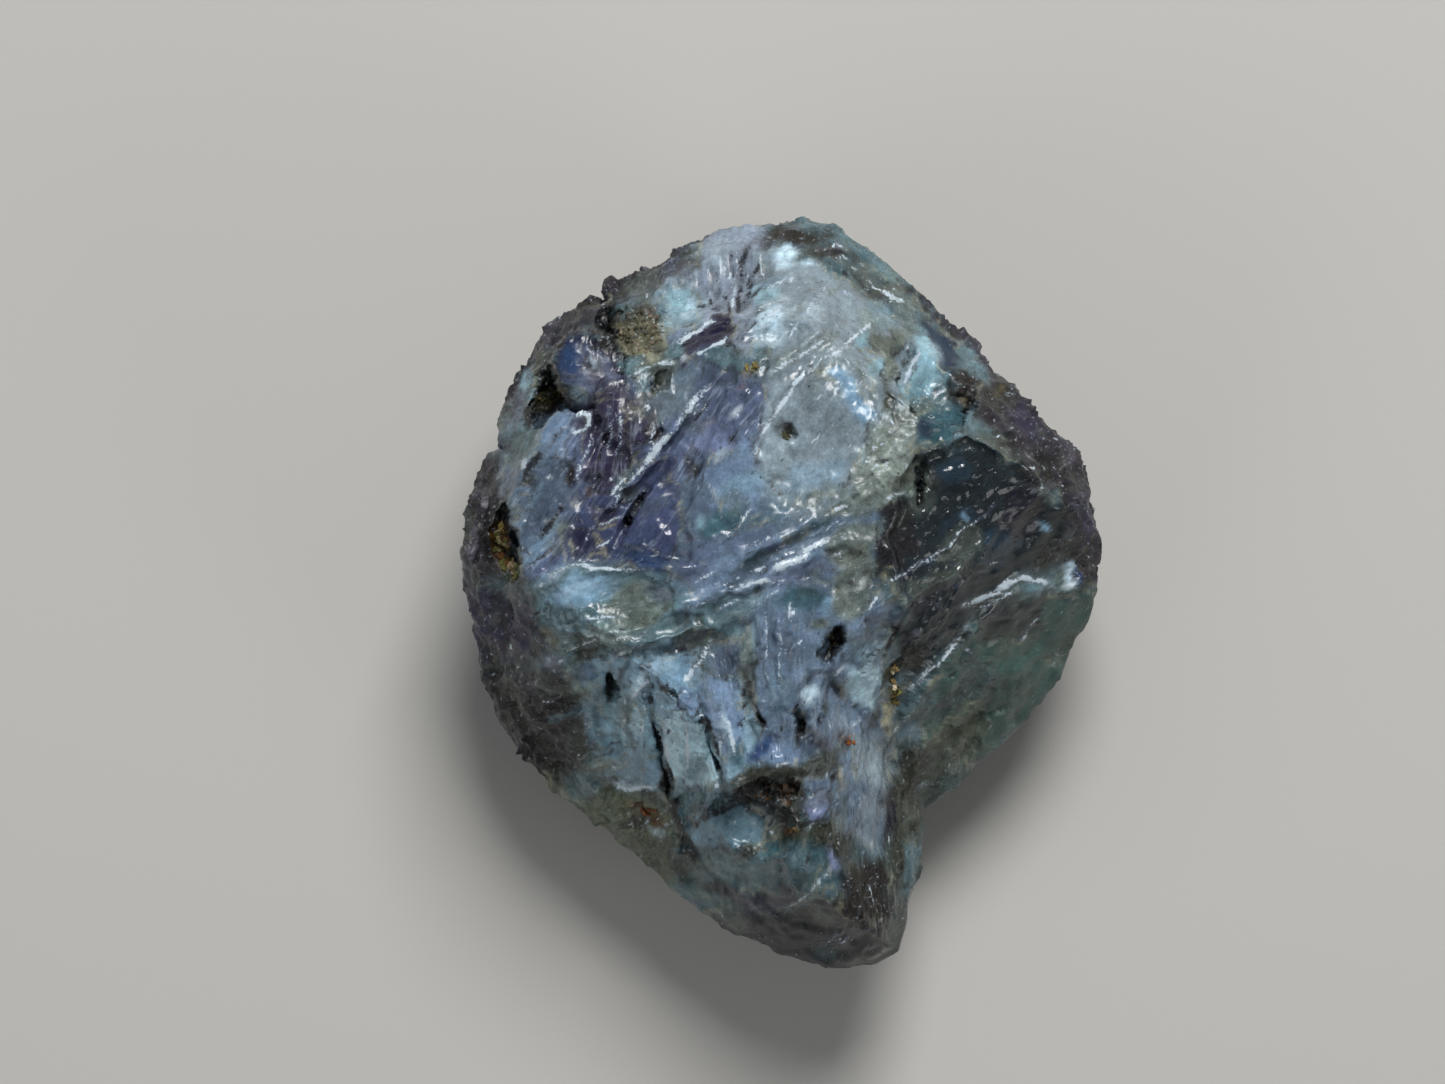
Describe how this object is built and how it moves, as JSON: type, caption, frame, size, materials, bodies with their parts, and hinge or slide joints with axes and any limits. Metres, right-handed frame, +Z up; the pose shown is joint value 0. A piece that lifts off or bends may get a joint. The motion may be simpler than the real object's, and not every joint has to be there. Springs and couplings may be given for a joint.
{
  "type": "alexandrite crystal",
  "caption": "Rough broken gem crystal, bluish green with violet and milky zones, tapering from a wide crown to a narrow foot and lying on its flat back.",
  "frame": {"origin": "on the plane that the crystal rests on, under the middle of its outline", "axes": "+Z up out of the broad front, +Y from the narrow foot to the wide crown, +X to the right when the front is looked at with the crown at the top"},
  "size_m": [0.0064, 0.0076, 0.004],
  "materials": {
    "alexandrite": "glassy broken faces, translucent, with milky and dark clear zones",
    "host_rock": "dull iron-stained grains in the pits"
  },
  "bodies": {
    "root": {"crystal": "alexandrite"}
  },
  "joints": []
}
